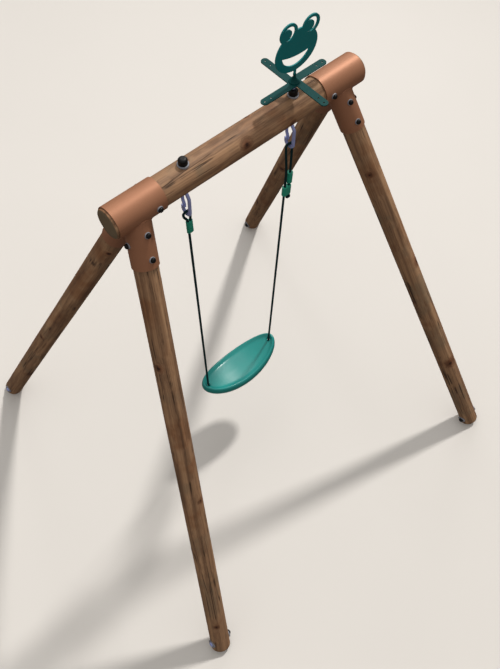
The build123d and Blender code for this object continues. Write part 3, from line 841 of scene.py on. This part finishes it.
# %% [markdown]
# The three sleeves of each corner are welded. A weld is a rippled bead along the line where two
# tubes meet. That line is worked out here by solving, for each straight line on a leg sleeve, where
# it enters the beam sleeve, and a small wavy tube is swept along it.

# %% Weld beads
sleeve_radius = 0.049
beam_sleeve_radius = 0.0605
weld_radius = 0.0028
weld_steps = 180
weld_spacing = 0.0011


def weld_line(side, front):
    top, axis = leg_line(side, front)
    first = Vector((1, 0, 0)) - axis * axis.x
    first.normalize()
    second = axis.cross(first)
    line = []
    for i in range(weld_steps + 1):
        spoke = spoke_at(first, second, math.tau * i / weld_steps) * sleeve_radius
        a = axis.y ** 2 + axis.z ** 2
        b = 2 * (axis.y * spoke.y + axis.z * spoke.z)
        c = spoke.y ** 2 + spoke.z ** 2 - beam_sleeve_radius ** 2
        s = (-b + math.sqrt(b * b - 4 * a * c)) / (2 * a)
        point = top + axis * s + spoke
        if point.y * front > -0.0005:
            line.append(point)
    gap = max(range(len(line)), key=lambda k: (line[k] - line[k - 1]).length)
    return line[gap:] + line[:gap]


for s, side in sides:
    for f, front in fronts:
        line = spaced(weld_line(side, front), weld_spacing)
        bead = swept(
            f"weld_{f}_{s}", line, 14, lambda at, angle: weld_radius * (1 + 0.10 * math.sin(at * 1900))
        )
        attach(bead, "frame")
        dress(copper_paint, bead)
print("welds on four sleeves")

# %% [markdown]
# Sharp CAD edges never catch the light as real ones do. A narrow bevel on the sheet metal and the
# sleeves rounds each edge by less than a millimetre, without touching the CAD mesh itself.

# %% Soft edges
def soften(width, *names):
    for name in names:
        edge = cad[name].modifiers.new("soft_edge", "BEVEL")
        edge.width, edge.segments, edge.limit_method = width, 2, "ANGLE"
        edge.angle_limit = math.radians(40)


soften(0.0006, "ornament_head", "ornament_collar", *limbs)
soften(0.0007, *sleeves)
print("edges softened")

# %% [markdown]
# The studio is a pale floor, a warm sun lamp from the right, and soft light from above. A sun lamp
# lights the floor evenly, where an area lamp would leave a bright pool, and its angle sets how fast a
# shadow's edge softens with distance. Three area lamps stand behind on the right: a broad one fills
# the shade, and two narrow ones give the seat's dish its pale reflections. The floor is only staging.

# %% Floor and lights
sky_strength = 0.66
sun_strength = 2.2
sun_softness = 5.0  # the lamp's angle, in degrees
floor_reach = 40
floor_drop = 0.0005  # under the feet, so that no faces share a plane
floor_mesh = bpy.data.meshes.new("floor")
corners = [(x * floor_reach, y * floor_reach, 0) for x, y in ((-1, -1), (1, -1), (1, 1), (-1, 1))]
floor_mesh.from_pydata(corners, [], [(0, 1, 2, 3)])
floor = bpy.data.objects.new("floor", floor_mesh)
floor.location.z = -floor_drop
bpy.context.scene.collection.objects.link(floor)
paper = Finish("pale_floor", Roughness=0.95, Specular_IOR_Level=0.05)
paper.set("Base Color", paper.mix(paper.noise(0.8, 3.0), srgb(211, 208, 204), srgb(215, 212, 208)))
dress(paper, floor)
floor.visible_diffuse = False
floor.visible_glossy = False

world = bpy.data.worlds.new("studio")
bpy.context.scene.world = world
world.use_nodes = True
tree = world.node_tree
background = next(n for n in tree.nodes if n.type == "BACKGROUND")
split = tree.nodes.new("ShaderNodeSeparateXYZ")
tree.links.new(tree.nodes.new("ShaderNodeTexCoord").outputs["Generated"], split.inputs[0])
height = tree.nodes.new("ShaderNodeMapRange")
height.inputs["From Min"].default_value = -1
tree.links.new(split.outputs["Z"], height.inputs["Value"])
ramp = tree.nodes.new("ShaderNodeValToRGB")
tree.links.new(height.outputs[0], ramp.inputs[0])
sky_stops = ((0.0, (0.16, 0.13, 0.11)), (0.45, (0.22, 0.19, 0.17)), (0.85, (1.0, 0.97, 0.93)))
ramp.color_ramp.elements.new(0.5)
for element, (position, colour) in zip(ramp.color_ramp.elements, sky_stops):
    element.position, element.color = position, (*colour, 1)
tree.links.new(ramp.outputs[0], background.inputs["Color"])
background.inputs["Strength"].default_value = sky_strength

sun_direction = Vector((0.72, 0.19, 1.0)).normalized()
sun_data = bpy.data.lights.new("key", "SUN")
sun_data.energy, sun_data.angle, sun_data.color = sun_strength, math.radians(sun_softness), (1.0, 0.965, 0.92)
sun = bpy.data.objects.new("key", sun_data)
sun.rotation_euler = (-sun_direction).to_track_quat("-Z", "Y").to_euler()
bpy.context.scene.collection.objects.link(sun)


def softbox(name, place, wide, tall, radiance):
    """A rectangular lamp aimed at the seat: its energy is what gives the wanted radiance."""
    data = bpy.data.lights.new(name, "AREA")
    data.shape, data.size, data.size_y = "RECTANGLE", wide, tall
    data.energy = radiance * math.pi * wide * tall
    lamp = bpy.data.objects.new(name, data)
    lamp.location = place
    aim = Vector((0, 0, seat_rim_z)) - lamp.location
    lamp.rotation_euler = aim.to_track_quat("-Z", "Y").to_euler()
    bpy.context.scene.collection.objects.link(lamp)


softbox("fill", (1.88, 1.68, 3.5), 2.3, 2.0, 0.6)
softbox("strip_low", (2.85, 1.65, 2.6), 0.35, 2.2, 3.2)
softbox("strip_high", (0.74, 1.63, 3.9), 0.35, 2.2, 2.4)
bpy.context.scene.view_settings.view_transform = "Standard"
print("lights on")
